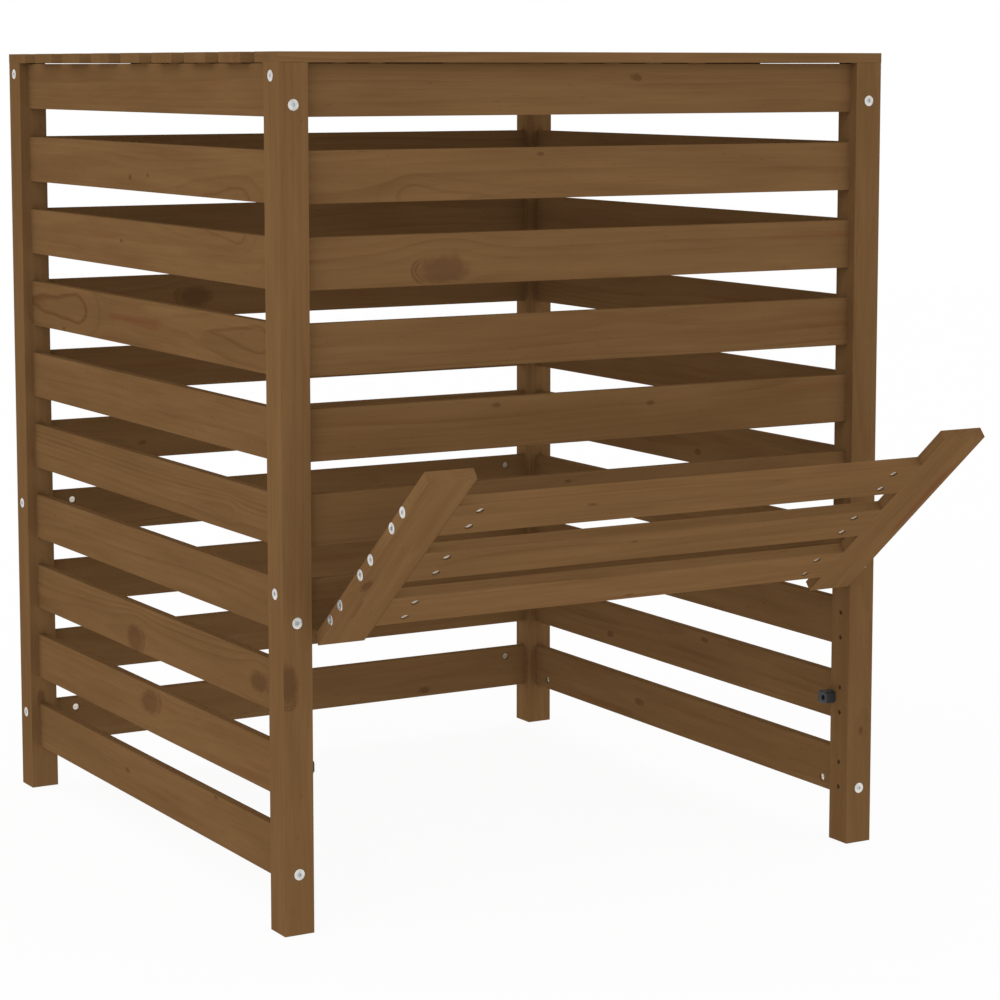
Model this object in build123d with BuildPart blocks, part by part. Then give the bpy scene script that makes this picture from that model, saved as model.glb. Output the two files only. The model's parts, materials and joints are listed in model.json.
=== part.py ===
from build123d import *
import os
from math import cos, radians, sin

# A square compost bin of slatted boards, with a hinged lid and a front flap that swings up.
# Millimetres: X to the right along the front, Y to the back, Z up.
# The origin is the centre of the footprint, on the ground.

# Overall size, over the posts and the lid
BIN_WIDTH = 825.0
BIN_DEPTH = 825.0
BIN_HEIGHT = 995.0

# Timber
POST_SIZE = 37.0
BOARD_WIDTH = 59.0
BOARD_THICKNESS = 12.0
FLAP_THICKNESS = 13.5
EDGE_EASE = 0.5

# Rows of wall boards, counted from the top
ROW_COUNT = 10
FRONT_ROW_COUNT = 7
GROUND_CLEARANCE = 56.75
LID_SHADOW_GAP = 1.0

# Lid boards run across the width, on battens that drop inside the walls
LID_BOARD_COUNT = 9
BATTEN_SPACING = 440.0
BATTEN_CLEARANCE = 3.0

# Flap, hung below the last row of the front wall
FLAP_OPEN_ANGLE = 130.0
FLAP_SIDE_CLEARANCE = 5.5
FLAP_TOP_GAP = 5.5
FLAP_GROUND_GAP = 2.0

# Connector bolts and the barrel nuts they screw into
BOLT_DIAMETER = 6.0
BOLT_HOLE_CLEARANCE = 0.25
BOLT_HEAD_DIAMETER = 13.0
BOLT_HEAD_HEIGHT = 0.8
BOLT_TIP_MARGIN = 1.5
SOCKET_ACROSS_FLATS = 4.0
SOCKET_DEPTH = 1.5
NUT_DIAMETER = 10.0
NUT_SETBACK = 33.0
NUT_SKIN = 2.0
NUT_RECESS = 1.5
THREAD_CLEARANCE = 0.05

# Bolts and dowels sit this far in from a board's long edge
FIXING_EDGE_DISTANCE = 13.5
DOWEL_DIAMETER = 6.0
DOWEL_DEPTH = 12.0

# Fasteners and their holes repeat many times, so their round sections are drawn with flat sides,
# and with fewer of them on the shanks and bores that the timber hides
FASTENER_SIDES = 12
SHANK_SIDES = 6

# Butt hinges
KNUCKLE_RADIUS = 3.0
LEAF_THICKNESS = 1.5
PIN_RADIUS = 1.5
PIN_CLEARANCE = 0.05
KNUCKLE_GAP = 0.3
FLAP_HINGE_LENGTH = 26.0
FLAP_LEAF_LENGTH = 16.0
LID_HINGE_LENGTH = 30.0
LID_LEAF_MARGIN = 1.0
POST_LEAF_LENGTH = 34.0

# Plastic blocks that stop the flap, each held by a screw near its front
STOP_REACH = 15.0
STOP_DEPTH = 18.0
STOP_HEIGHT = 15.0
STOP_RISE = 2.0
STOP_CORNER = 2.5
STOP_EASE = 1.0
STOP_CLEARANCE = 0.3
STOP_SCREW_SETBACK = 6.5
STOP_SCREW_DIAMETER = 3.5
STOP_SCREW_HEAD_DIAMETER = 7.0
STOP_SCREW_HEAD_DEPTH = 10.0

# Places worked out from the sizes above
POST_HEIGHT = BIN_HEIGHT - BOARD_THICKNESS
POST_X = (BIN_WIDTH - POST_SIZE) / 2
POST_Y = (BIN_DEPTH - POST_SIZE) / 2
INNER_X = BIN_WIDTH / 2 - POST_SIZE
INNER_Y = BIN_DEPTH / 2 - POST_SIZE
TOP_ROW_Z = POST_HEIGHT - LID_SHADOW_GAP - BOARD_WIDTH / 2
ROW_PITCH = (TOP_ROW_Z - BOARD_WIDTH / 2 - GROUND_CLEARANCE) / (ROW_COUNT - 1)
FIXING_OFFSET = BOARD_WIDTH / 2 - FIXING_EDGE_DISTANCE
BOLT_HOLE_RADIUS = BOLT_DIAMETER / 2 + BOLT_HOLE_CLEARANCE
BOLT_REACH = NUT_SETBACK + NUT_DIAMETER / 2 - BOLT_TIP_MARGIN

X_AXIS = Vector(1, 0, 0)
Y_AXIS = Vector(0, 1, 0)
UP = Vector(0, 0, 1)

os.makedirs("parts", exist_ok=True)


def save(piece, name):
    """Write one node."""
    piece.part.label = name
    export_step(piece.part, f"parts/{name}.step")


def save_group(solids, name):
    """Write one node that holds several separate solids."""
    with BuildPart() as group:
        add(solids)
    save(group, name)


def row_z(row):
    """Height of a row's centre line; row 1 is the top one."""
    return TOP_ROW_Z - (row - 1) * ROW_PITCH


def board_plane(centre, inward):
    """Plane in the middle of a wall board: x along it, y up, z into the bin."""
    return Plane(origin=centre, x_dir=UP.cross(inward), z_dir=inward)


def shifted(plane, x, y, z):
    """The same plane, moved by local distances."""
    return Plane(origin=plane.from_local_coords(Vector(x, y, z)), x_dir=plane.x_dir, z_dir=plane.z_dir)


def facing_along(plane, x, y, z, side):
    """Plane at a local point that faces along local x, or against it for a side of -1."""
    return Plane(
        origin=plane.from_local_coords(Vector(x, y, z)),
        x_dir=plane.z_dir,
        z_dir=plane.x_dir * side,
    )


def make_board(plane, length, thickness):
    """Board with eased long edges, centred on a plane."""
    with BuildPart() as board:
        with BuildSketch(plane.offset(-thickness / 2)):
            Rectangle(length, BOARD_WIDTH)
        extrude(amount=thickness)
        chamfer(board.edges().group_by(SortBy.LENGTH)[-1], EDGE_EASE)
    return board


def make_bolted_board(plane, length, thickness, offsets):
    """Board with a bolt bore in both ends and a barrel nut pocket in its inner face at each offset."""
    blank = make_board(plane, length, thickness)
    with BuildPart() as board:
        add(blank.part)
        for offset in offsets:
            for side in (-1, 1):
                with BuildSketch(facing_along(plane, side * length / 2, offset, 0, side)):
                    RegularPolygon(BOLT_HOLE_RADIUS, SHANK_SIDES)
                extrude(amount=-NUT_SETBACK, mode=Mode.SUBTRACT)
                with BuildSketch(shifted(plane, side * (length / 2 - NUT_SETBACK), offset, thickness / 2)):
                    RegularPolygon(NUT_DIAMETER / 2, FASTENER_SIDES)
                extrude(amount=NUT_SKIN - thickness, mode=Mode.SUBTRACT)
    return board


def make_bolt(seat, grip):
    """Bolt with its head on the seat plane, through a grip of timber into a board's end."""
    with BuildPart() as bolt:
        with BuildSketch(seat):
            RegularPolygon(BOLT_HEAD_DIAMETER / 2, FASTENER_SIDES)
        extrude(amount=BOLT_HEAD_HEIGHT)
        with BuildSketch(seat):
            RegularPolygon(BOLT_DIAMETER / 2, SHANK_SIDES)
        extrude(amount=-(grip + BOLT_REACH))
        with BuildSketch(seat.offset(BOLT_HEAD_HEIGHT)):
            RegularPolygon(SOCKET_ACROSS_FLATS / 2, 6, major_radius=False)
        extrude(amount=-SOCKET_DEPTH, mode=Mode.SUBTRACT)
    return bolt.part


def make_barrel_nut(plane, x, offset, thickness):
    """Barrel nut sunk a little below a board's inner face, cross-drilled for its bolt."""
    with BuildPart() as nut:
        with BuildSketch(shifted(plane, x, offset, NUT_SKIN - thickness / 2)):
            RegularPolygon(NUT_DIAMETER / 2, FASTENER_SIDES)
        extrude(amount=thickness - NUT_SKIN - NUT_RECESS)
        with BuildSketch(facing_along(plane, x, offset, 0, 1)):
            RegularPolygon(BOLT_DIAMETER / 2 + THREAD_CLEARANCE, SHANK_SIDES)
        extrude(amount=NUT_DIAMETER, both=True, mode=Mode.SUBTRACT)
    return nut.part


def make_hinge_leaf(plane, hinge_length, leaf_length, outer_knuckles):
    """Hinge leaf about a plane's x axis: y runs along the leaf, z towards the face it lies on."""
    knuckle = hinge_length / 3
    if outer_knuckles:
        spans = [(-hinge_length / 2, knuckle - KNUCKLE_GAP / 2)]
        spans.append((hinge_length / 2 - knuckle + KNUCKLE_GAP / 2, knuckle - KNUCKLE_GAP / 2))
    else:
        spans = [(-knuckle / 2 + KNUCKLE_GAP / 2, knuckle - KNUCKLE_GAP)]
    plate_middle = KNUCKLE_RADIUS - LEAF_THICKNESS / 2
    plate_start = KNUCKLE_RADIUS + KNUCKLE_GAP
    with BuildPart() as leaf:
        for start, width in spans:
            profile = Plane(
                origin=plane.from_local_coords(Vector(start, 0, 0)), x_dir=plane.y_dir, z_dir=plane.x_dir
            )
            with BuildSketch(profile):
                Circle(KNUCKLE_RADIUS)
                with Locations((leaf_length / 2, plate_middle)):
                    Rectangle(leaf_length, LEAF_THICKNESS)
                Circle(PIN_RADIUS + PIN_CLEARANCE, mode=Mode.SUBTRACT)
            extrude(amount=width)
        with BuildSketch(plane.offset(KNUCKLE_RADIUS - LEAF_THICKNESS)):
            with Locations((0, (plate_start + leaf_length) / 2)):
                Rectangle(hinge_length, leaf_length - plate_start)
        extrude(amount=LEAF_THICKNESS)
    return leaf.part


def make_pin(plane, hinge_length):
    """Hinge pin along a plane's x axis."""
    with BuildPart() as pin:
        with BuildSketch(facing_along(plane, 0, 0, 0, 1)):
            Circle(PIN_RADIUS)
        extrude(amount=hinge_length / 2, both=True)
    return pin.part


# Walls: the way each faces inwards, the centre of its boards in plan, their length and the bolts' side
WALLS = {
    "front": (Y_AXIS, Vector(0, -POST_Y, 0), 2 * INNER_X, FIXING_OFFSET, FRONT_ROW_COUNT),
    "back": (Y_AXIS * -1, Vector(0, POST_Y, 0), 2 * INNER_X, FIXING_OFFSET, ROW_COUNT),
    "left": (X_AXIS, Vector(-POST_X, 0, 0), 2 * INNER_Y, -FIXING_OFFSET, ROW_COUNT),
    "right": (X_AXIS * -1, Vector(POST_X, 0, 0), 2 * INNER_Y, -FIXING_OFFSET, ROW_COUNT),
}


def bolted_rows(row_count):
    """Rows with bolted ends: the top one, the one above the flap and the bottom one."""
    return [row for row in (1, FRONT_ROW_COUNT, ROW_COUNT) if row <= row_count]


# Wall boards
for wall, (inward, middle, length, bolt_offset, row_count) in WALLS.items():
    for row in range(1, row_count + 1):
        plane = board_plane(middle + UP * row_z(row), inward)
        if row in bolted_rows(row_count):
            slat = make_bolted_board(plane, length, BOARD_THICKNESS, [bolt_offset])
        else:
            slat = make_board(plane, length, BOARD_THICKNESS)
        save(slat, f"{wall}_slat_{row:02d}")

# Posts, bored for the bolts of both walls that meet there
for front_back, side_y in (("front", -1), ("back", 1)):
    for left_right, side_x in (("left", -1), ("right", 1)):
        face_x = Plane(origin=(side_x * BIN_WIDTH / 2, side_y * POST_Y, 0), z_dir=X_AXIS * side_x)
        face_y = Plane(origin=(side_x * POST_X, side_y * BIN_DEPTH / 2, 0), z_dir=Y_AXIS * side_y)
        with BuildPart() as post:
            with BuildSketch():
                with Locations((side_x * POST_X, side_y * POST_Y)):
                    Rectangle(POST_SIZE, POST_SIZE)
            extrude(amount=POST_HEIGHT)
            chamfer(post.edges().filter_by(Axis.Z), EDGE_EASE)
            for wall, face in ((front_back, face_x), (left_right, face_y)):
                inward, _, _, bolt_offset, row_count = WALLS[wall]
                for row in bolted_rows(row_count):
                    height = UP * (row_z(row) + bolt_offset)
                    with BuildSketch(Plane(origin=face.origin + height, x_dir=inward, z_dir=face.z_dir)):
                        RegularPolygon(BOLT_HOLE_RADIUS, SHANK_SIDES)
                    extrude(amount=-POST_SIZE, mode=Mode.SUBTRACT)
            # Dowel holes left empty where the flap takes the place of wall boards
            if front_back == "front":
                for row in range(FRONT_ROW_COUNT + 1, ROW_COUNT + 1):
                    for offset in (-FIXING_OFFSET, FIXING_OFFSET):
                        mouth = Vector(side_x * INNER_X, -POST_Y, row_z(row) + offset)
                        with BuildSketch(Plane(origin=mouth, z_dir=X_AXIS * -side_x)):
                            RegularPolygon(DOWEL_DIAMETER / 2, FASTENER_SIDES)
                        extrude(amount=-DOWEL_DEPTH, mode=Mode.SUBTRACT)
        save(post, f"{front_back}_{left_right}_post")

# Bolts and barrel nuts of the walls
frame_bolts = []
frame_barrel_nuts = []
for inward, middle, length, bolt_offset, row_count in WALLS.values():
    for row in bolted_rows(row_count):
        plane = board_plane(middle + UP * row_z(row), inward)
        for side in (-1, 1):
            seat = facing_along(plane, side * (length / 2 + POST_SIZE), bolt_offset, 0, side)
            frame_bolts.append(make_bolt(seat, POST_SIZE))
            nut_x = side * (length / 2 - NUT_SETBACK)
            frame_barrel_nuts.append(make_barrel_nut(plane, nut_x, bolt_offset, BOARD_THICKNESS))
save_group(frame_bolts, "frame_bolts")
save_group(frame_barrel_nuts, "frame_barrel_nuts")

# Flap: its plane lies on the hinge axis, with x along the axis, y down the flap and z to its inner face
FLAP_AXIS = Vector(
    0,
    -POST_Y - BOARD_THICKNESS / 2 - KNUCKLE_RADIUS,
    row_z(FRONT_ROW_COUNT) - BOARD_WIDTH / 2 - FLAP_TOP_GAP / 2,
)
open_angle = radians(FLAP_OPEN_ANGLE)
FLAP_PLANE = Plane(origin=FLAP_AXIS, x_dir=X_AXIS, z_dir=Vector(0, cos(open_angle), -sin(open_angle)))
FLAP_HALF_WIDTH = INNER_X - FLAP_SIDE_CLEARANCE
FLAP_MIDDLE_Z = KNUCKLE_RADIUS + FLAP_THICKNESS / 2
STILE_START = FLAP_TOP_GAP / 2
STILE_END = FLAP_AXIS.Z - FLAP_GROUND_GAP
STILE_X = FLAP_HALF_WIDTH - BOARD_WIDTH / 2
FLAP_SLAT_LENGTH = 2 * (FLAP_HALF_WIDTH - BOARD_WIDTH)
FLAP_ROWS = range(FRONT_ROW_COUNT + 1, ROW_COUNT + 1)
FLAP_FIXINGS = (-FIXING_OFFSET, FIXING_OFFSET)


def flap_slat_plane(row):
    """Middle of a flap board, level with the wall boards' row when the flap is shut."""
    return shifted(FLAP_PLANE, 0, FLAP_AXIS.Z - row_z(row), FLAP_MIDDLE_Z)


for row in FLAP_ROWS:
    flap_slat = make_bolted_board(flap_slat_plane(row), FLAP_SLAT_LENGTH, FLAP_THICKNESS, FLAP_FIXINGS)
    save(flap_slat, f"flap_slat_{row - FRONT_ROW_COUNT}")

for left_right, side in (("left", -1), ("right", 1)):
    middle = FLAP_PLANE.from_local_coords(Vector(side * STILE_X, (STILE_START + STILE_END) / 2, FLAP_MIDDLE_Z))
    stile_plane = Plane(origin=middle, x_dir=FLAP_PLANE.y_dir, z_dir=FLAP_PLANE.z_dir)
    blank = make_board(stile_plane, STILE_END - STILE_START, FLAP_THICKNESS)
    with BuildPart() as stile:
        add(blank.part)
        for row in FLAP_ROWS:
            for offset in FLAP_FIXINGS:
                with BuildSketch(facing_along(flap_slat_plane(row), side * FLAP_HALF_WIDTH, offset, 0, side)):
                    RegularPolygon(BOLT_HOLE_RADIUS, SHANK_SIDES)
                extrude(amount=-BOARD_WIDTH, mode=Mode.SUBTRACT)
    save(stile, f"flap_{left_right}_stile")

flap_bolts = []
flap_barrel_nuts = []
for row in FLAP_ROWS:
    plane = flap_slat_plane(row)
    for offset in FLAP_FIXINGS:
        for side in (-1, 1):
            seat = facing_along(plane, side * FLAP_HALF_WIDTH, offset, 0, side)
            flap_bolts.append(make_bolt(seat, BOARD_WIDTH))
            nut_x = side * (FLAP_SLAT_LENGTH / 2 - NUT_SETBACK)
            flap_barrel_nuts.append(make_barrel_nut(plane, nut_x, offset, FLAP_THICKNESS))
save_group(flap_bolts, "flap_bolts")
save_group(flap_barrel_nuts, "flap_barrel_nuts")

# Flap hinges: one leaf on the front wall's lowest board, one on each stile's outer face
wall_leaves = []
stile_leaves = []
flap_pins = []
for side in (-1, 1):
    stile_leaf_plane = shifted(FLAP_PLANE, side * STILE_X, 0, 0)
    wall_leaf_plane = Plane(origin=stile_leaf_plane.origin, x_dir=X_AXIS * -1, z_dir=Y_AXIS)
    wall_leaves.append(make_hinge_leaf(wall_leaf_plane, FLAP_HINGE_LENGTH, FLAP_LEAF_LENGTH, True))
    stile_leaves.append(make_hinge_leaf(stile_leaf_plane, FLAP_HINGE_LENGTH, FLAP_LEAF_LENGTH, False))
    flap_pins.append(make_pin(stile_leaf_plane, FLAP_HINGE_LENGTH))
save_group(wall_leaves, "flap_hinge_wall_leaves")
save_group(stile_leaves, "flap_hinge_stile_leaves")
save_group(flap_pins, "flap_hinge_pins")

# Stop blocks on the front posts, just behind the shut flap
STOP_FRONT = -POST_Y - BOARD_THICKNESS / 2 + FLAP_THICKNESS + STOP_CLEARANCE
STOP_ROW = FRONT_ROW_COUNT + 2
flap_stops = []
for side in (-1, 1):
    screw = Vector(side * INNER_X, STOP_FRONT + STOP_SCREW_SETBACK, row_z(STOP_ROW) + STOP_RISE)
    middle = screw + Y_AXIS * (STOP_DEPTH / 2 - STOP_SCREW_SETBACK)
    with BuildPart() as stop:
        with BuildSketch(Plane(origin=middle, x_dir=UP, z_dir=X_AXIS * -side)) as outline:
            Rectangle(STOP_HEIGHT, STOP_DEPTH)
            chamfer(outline.vertices(), STOP_CORNER)
        extrude(amount=STOP_REACH)
        face = stop.faces().sort_by(Axis(middle, X_AXIS * -side))[-1]
        chamfer(face.edges(), STOP_EASE)
        with Locations(Plane(origin=screw, x_dir=UP, z_dir=X_AXIS * -side).offset(STOP_REACH)):
            CounterBoreHole(STOP_SCREW_DIAMETER / 2, STOP_SCREW_HEAD_DIAMETER / 2, STOP_SCREW_HEAD_DEPTH, STOP_REACH)
    flap_stops.append(stop.part)
save_group(flap_stops, "flap_stops")

# Lid: boards flush with the posts all round, held by battens that hang between the front and back walls
LID_MIDDLE_Z = POST_HEIGHT + BOARD_THICKNESS / 2
LID_PITCH = (BIN_DEPTH - BOARD_WIDTH) / (LID_BOARD_COUNT - 1)
BATTEN_LENGTH = 2 * (POST_Y - BOARD_THICKNESS / 2 - BATTEN_CLEARANCE)
lid_boards = []
for board in range(LID_BOARD_COUNT):
    middle = Vector(0, (BOARD_WIDTH - BIN_DEPTH) / 2 + board * LID_PITCH, LID_MIDDLE_Z)
    lid_board = make_board(Plane(origin=middle, x_dir=X_AXIS, z_dir=UP), BIN_WIDTH, BOARD_THICKNESS)
    lid_boards.append(lid_board.part)
save_group(lid_boards, "lid_boards")

lid_battens = []
for side in (-1, 1):
    middle = Vector(side * BATTEN_SPACING / 2, 0, LID_MIDDLE_Z - BOARD_THICKNESS)
    lid_batten = make_board(Plane(origin=middle, x_dir=Y_AXIS, z_dir=UP), BATTEN_LENGTH, BOARD_THICKNESS)
    lid_battens.append(lid_batten.part)
save_group(lid_battens, "lid_battens")

# Lid hinges: one leaf on the back of each back post, one on the rear edge of the last lid board
LID_AXIS = Vector(0, BIN_DEPTH / 2 + KNUCKLE_RADIUS, POST_HEIGHT)
LID_LEAF_LENGTH = BOARD_THICKNESS - LID_LEAF_MARGIN
post_leaves = []
lid_leaves = []
lid_pins = []
for side in (-1, 1):
    place = LID_AXIS + X_AXIS * (side * POST_X)
    post_leaf_plane = Plane(origin=place, x_dir=X_AXIS * -1, z_dir=Y_AXIS * -1)
    lid_leaf_plane = Plane(origin=place, x_dir=X_AXIS, z_dir=Y_AXIS * -1)
    post_leaves.append(make_hinge_leaf(post_leaf_plane, LID_HINGE_LENGTH, POST_LEAF_LENGTH, True))
    lid_leaves.append(make_hinge_leaf(lid_leaf_plane, LID_HINGE_LENGTH, LID_LEAF_LENGTH, False))
    lid_pins.append(make_pin(lid_leaf_plane, LID_HINGE_LENGTH))
save_group(post_leaves, "lid_hinge_post_leaves")
save_group(lid_leaves, "lid_hinge_lid_leaves")
save_group(lid_pins, "lid_hinge_pins")
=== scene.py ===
import json
import math
import random
from typing import NamedTuple

import bmesh
import bpy
from mathutils import Matrix, Vector


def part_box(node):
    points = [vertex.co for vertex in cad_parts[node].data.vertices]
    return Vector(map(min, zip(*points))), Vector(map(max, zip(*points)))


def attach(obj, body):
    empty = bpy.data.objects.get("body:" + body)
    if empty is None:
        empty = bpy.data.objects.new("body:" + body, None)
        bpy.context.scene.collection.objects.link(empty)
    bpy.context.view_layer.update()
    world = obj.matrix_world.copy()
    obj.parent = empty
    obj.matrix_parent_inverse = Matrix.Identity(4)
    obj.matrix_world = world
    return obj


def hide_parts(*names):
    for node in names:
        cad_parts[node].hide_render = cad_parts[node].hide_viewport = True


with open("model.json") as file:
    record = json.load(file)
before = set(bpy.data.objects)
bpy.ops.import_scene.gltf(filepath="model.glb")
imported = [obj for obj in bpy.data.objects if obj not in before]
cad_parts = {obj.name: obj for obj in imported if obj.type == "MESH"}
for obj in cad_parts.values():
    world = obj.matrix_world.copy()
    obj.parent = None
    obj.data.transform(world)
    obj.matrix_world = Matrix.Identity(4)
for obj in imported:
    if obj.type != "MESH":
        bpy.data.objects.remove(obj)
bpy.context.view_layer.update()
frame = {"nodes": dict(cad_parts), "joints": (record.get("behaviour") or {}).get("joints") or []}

# A slatted compost bin of stained pine: timber figure, round fasteners, small screws, studio and camera.
# Metres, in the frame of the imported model: X to the right along the front, Y to the back, Z up.

X_AXIS = Vector((1, 0, 0))
Y_AXIS = Vector((0, 1, 0))
UP = Vector((0, 0, 1))


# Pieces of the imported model

class Wall(NamedTuple):
    """The way a wall faces inwards, its boards' grain and count, and the rows whose ends are bolted."""

    inward: Vector
    grain: Vector
    row_count: int
    bolted_rows: tuple


# Rows are numbered from the top, and the front wall ends above the flap
TOP_ROW = 1
ROW_ABOVE_FLAP = 7
LOWEST_ROW = 10
BOLTED_ROWS = (TOP_ROW, ROW_ABOVE_FLAP, LOWEST_ROW)
WALLS = {
    "front": Wall(Y_AXIS, X_AXIS, ROW_ABOVE_FLAP, (TOP_ROW, ROW_ABOVE_FLAP)),
    "back": Wall(-Y_AXIS, X_AXIS, LOWEST_ROW, BOLTED_ROWS),
    "left": Wall(X_AXIS, Y_AXIS, LOWEST_ROW, BOLTED_ROWS),
    "right": Wall(-X_AXIS, Y_AXIS, LOWEST_ROW, BOLTED_ROWS),
}
BACK_POSTS = ("back_left_post", "back_right_post")
POSTS = ("front_left_post", "front_right_post", *BACK_POSTS)
FLAP_SLATS = ("flap_slat_1", "flap_slat_2", "flap_slat_3")
FLAP_STILES = ("flap_left_stile", "flap_right_stile")
LID_BOARD_COUNT = 9
BATTEN_COUNT = 2
HINGE_NODES = (
    "flap_hinge_wall_leaves",
    "flap_hinge_stile_leaves",
    "flap_hinge_pins",
    "lid_hinge_post_leaves",
    "lid_hinge_lid_leaves",
    "lid_hinge_pins",
)
JOINTS = {joint["name"]: joint for joint in frame["joints"]}

# The flap is shut at its hinge's lower limit and open at rest: its own directions follow from that angle
FLAP_ANGLE = -math.radians(JOINTS["flap_hinge"]["range_deg"][0])
FLAP_DOWN = Vector((0, -math.sin(FLAP_ANGLE), -math.cos(FLAP_ANGLE)))
FLAP_INNER = Vector((0, math.cos(FLAP_ANGLE), -math.sin(FLAP_ANGLE)))


def slat_name(wall, row):
    """Node of the board in one row of a wall."""
    return f"{wall}_slat_{row:02d}"


def middle_of(node):
    """Centre of a node's box."""
    low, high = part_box(node)
    return (low + high) / 2


def span(node, direction):
    """Size of a node along a direction."""
    reaches = [vertex.co.dot(direction) for vertex in frame["nodes"][node].data.vertices]
    return max(reaches) - min(reaches)


# Timber sizes, from the frame
BOARD_WIDTH = span("front_slat_01", UP)
BOARD_THICKNESS = span("front_slat_01", Y_AXIS)
POST_SIZE = span("front_left_post", X_AXIS)
STILE_WIDTH = span("flap_left_stile", X_AXIS)
FLAP_THICKNESS = span("flap_slat_1", FLAP_INNER)


def linked(name, data):
    """New object in the scene."""
    piece = bpy.data.objects.new(name, data)
    bpy.context.scene.collection.objects.link(piece)
    return piece


# Shader nodes

# Numbers of the Mix node's sockets that serve colours
MIX_SHARE = 0
MIX_FIRST = 6
MIX_SECOND = 7
MIX_RESULT = 2


class Figure(NamedTuple):
    """A noise: its scale, its detail, its roughness, and how far the grain draws it out."""

    scale: float
    detail: float = 2.0
    roughness: float = 0.5
    stretch: float = 1.0


class ShaderNet:
    """The shader nodes of one new material. An input is a socket or a plain value."""

    def __init__(self, name):
        self.material = bpy.data.materials.new(name)
        self.material.use_nodes = True
        self.tree = self.material.node_tree
        self.shader = self.tree.nodes["Principled BSDF"]

    def feed(self, socket, value):
        """Link a socket to another one, or set its plain value."""
        if isinstance(value, bpy.types.NodeSocket):
            self.tree.links.new(value, socket)
        else:
            socket.default_value = value

    def add(self, kind, inputs, **settings):
        """New node, with its settings and inputs."""
        node = self.tree.nodes.new(kind)
        for setting, value in settings.items():
            setattr(node, setting, value)
        for key, value in inputs.items():
            self.feed(node.inputs[key], value)
        return node

    def surface(self, inputs):
        """Inputs of the shader itself."""
        for key, value in inputs.items():
            self.feed(self.shader.inputs[key], value)

    def bump(self, height, strength, distance):
        """Fine relief of the surface."""
        inputs = {"Strength": strength, "Distance": distance, "Height": height}
        self.surface({"Normal": self.add("ShaderNodeBump", inputs).outputs[0]})

    def place(self):
        """Coordinates and normal of a point of the object, by name."""
        return self.add("ShaderNodeTexCoord", {}).outputs

    def setting(self, name, output="Fac"):
        """A value that each object holds for itself."""
        node = self.add("ShaderNodeAttribute", {}, attribute_type="OBJECT", attribute_name=name)
        return node.outputs[output]

    def math(self, operation, *values):
        return self.add("ShaderNodeMath", dict(enumerate(values)), operation=operation).outputs[0]

    def chain(self, operation, values):
        """Any number of values, joined one after the other."""
        result = values[0]
        for value in values[1:]:
            result = self.math(operation, result, value)
        return result

    def total(self, *values):
        return self.chain("ADD", values)

    def product(self, *values):
        return self.chain("MULTIPLY", values)

    def minus(self, first, second):
        return self.math("SUBTRACT", first, second)

    def over(self, first, second):
        return self.math("DIVIDE", first, second)

    def magnitude(self, value):
        return self.math("ABSOLUTE", value)

    def hypotenuse(self, first, second):
        return self.math("SQRT", self.total(self.product(first, first), self.product(second, second)))

    def ease(self, value, start, end):
        """Smooth rise from 0 at start to 1 at end."""
        inputs = {"Value": value, "From Min": start, "From Max": end}
        return self.add("ShaderNodeMapRange", inputs, interpolation_type="SMOOTHSTEP").outputs[0]

    def spread(self, value, low, high):
        """Straight map of 0..1 to low..high."""
        return self.add("ShaderNodeMapRange", {"Value": value, "To Min": low, "To Max": high}).outputs[0]

    def swing(self, value, reach):
        """Straight map of 0..1 to as far below zero as above it."""
        return self.spread(value, -reach, reach)

    def vector(self, operation, first, second):
        node = self.add("ShaderNodeVectorMath", {0: first, 1: second}, operation=operation)
        return node.outputs["Vector"]

    def dot(self, first, second):
        node = self.add("ShaderNodeVectorMath", {0: first, 1: second}, operation="DOT_PRODUCT")
        return node.outputs["Value"]

    def combine(self, x, y, z):
        return self.add("ShaderNodeCombineXYZ", {0: x, 1: y, 2: z}).outputs[0]

    def split(self, vector):
        """The three numbers of a vector."""
        return self.add("ShaderNodeSeparateXYZ", {0: vector}).outputs

    def noise(self, place, figure):
        inputs = {
            "Vector": place,
            "Scale": figure.scale,
            "Detail": figure.detail,
            "Roughness": figure.roughness,
        }
        return self.add("ShaderNodeTexNoise", inputs).outputs[0]

    def blend(self, share, first, second, blend_type="MIX"):
        """Colour between two others."""
        inputs = {MIX_SHARE: share, MIX_FIRST: first, MIX_SECOND: second}
        node = self.add("ShaderNodeMix", inputs, data_type="RGBA", blend_type=blend_type)
        return node.outputs[MIX_RESULT]


# Stained pine: colours
PALE_WOOD = (0.206, 0.114, 0.0474, 1)
DARK_WOOD = (0.114, 0.0557, 0.0207, 1)
RING_LINE = (0.102, 0.0410, 0.0163, 1)
RED_STAIN = (0.146, 0.0580, 0.0250, 1)
KNOT_WOOD = (0.086, 0.0387, 0.0178, 1)
WORN_EDGE = (0.218, 0.124, 0.054, 1)

# Rows of boards that share an object: step of their seeds, and how far their figure slides to and fro
ROW_SEED_STEP = 5.3
ROW_SLIDE = 0.21
GOLDEN_TURN = 2.4

# How far one step of the seed moves the noise
SEED_SHIFT = (1.7, 3.1, 2.3)

# Fibres, mottling, streaks and flecks: their noise, where it starts to show, and how much it counts
FIBRE = Figure(420.0, 3.0, 0.6, stretch=38.0)
MOTTLE = Figure(34.0, 3.0, 0.55, stretch=7.0)
STREAK = Figure(62.0, stretch=16.0)
STREAK_RISE = (0.60, 0.76)
STREAK_SHARE = 0.35
FLECK = Figure(420.0, 1.0, stretch=6.0)
FLECK_RISE = (0.69, 0.79)
FLECK_SHARE = 0.40
PLAIN_SHADE = 0.36
FIBRE_SHADE = 0.20
MOTTLE_SHADE = 0.42
RING_SHADE = 0.10

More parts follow.
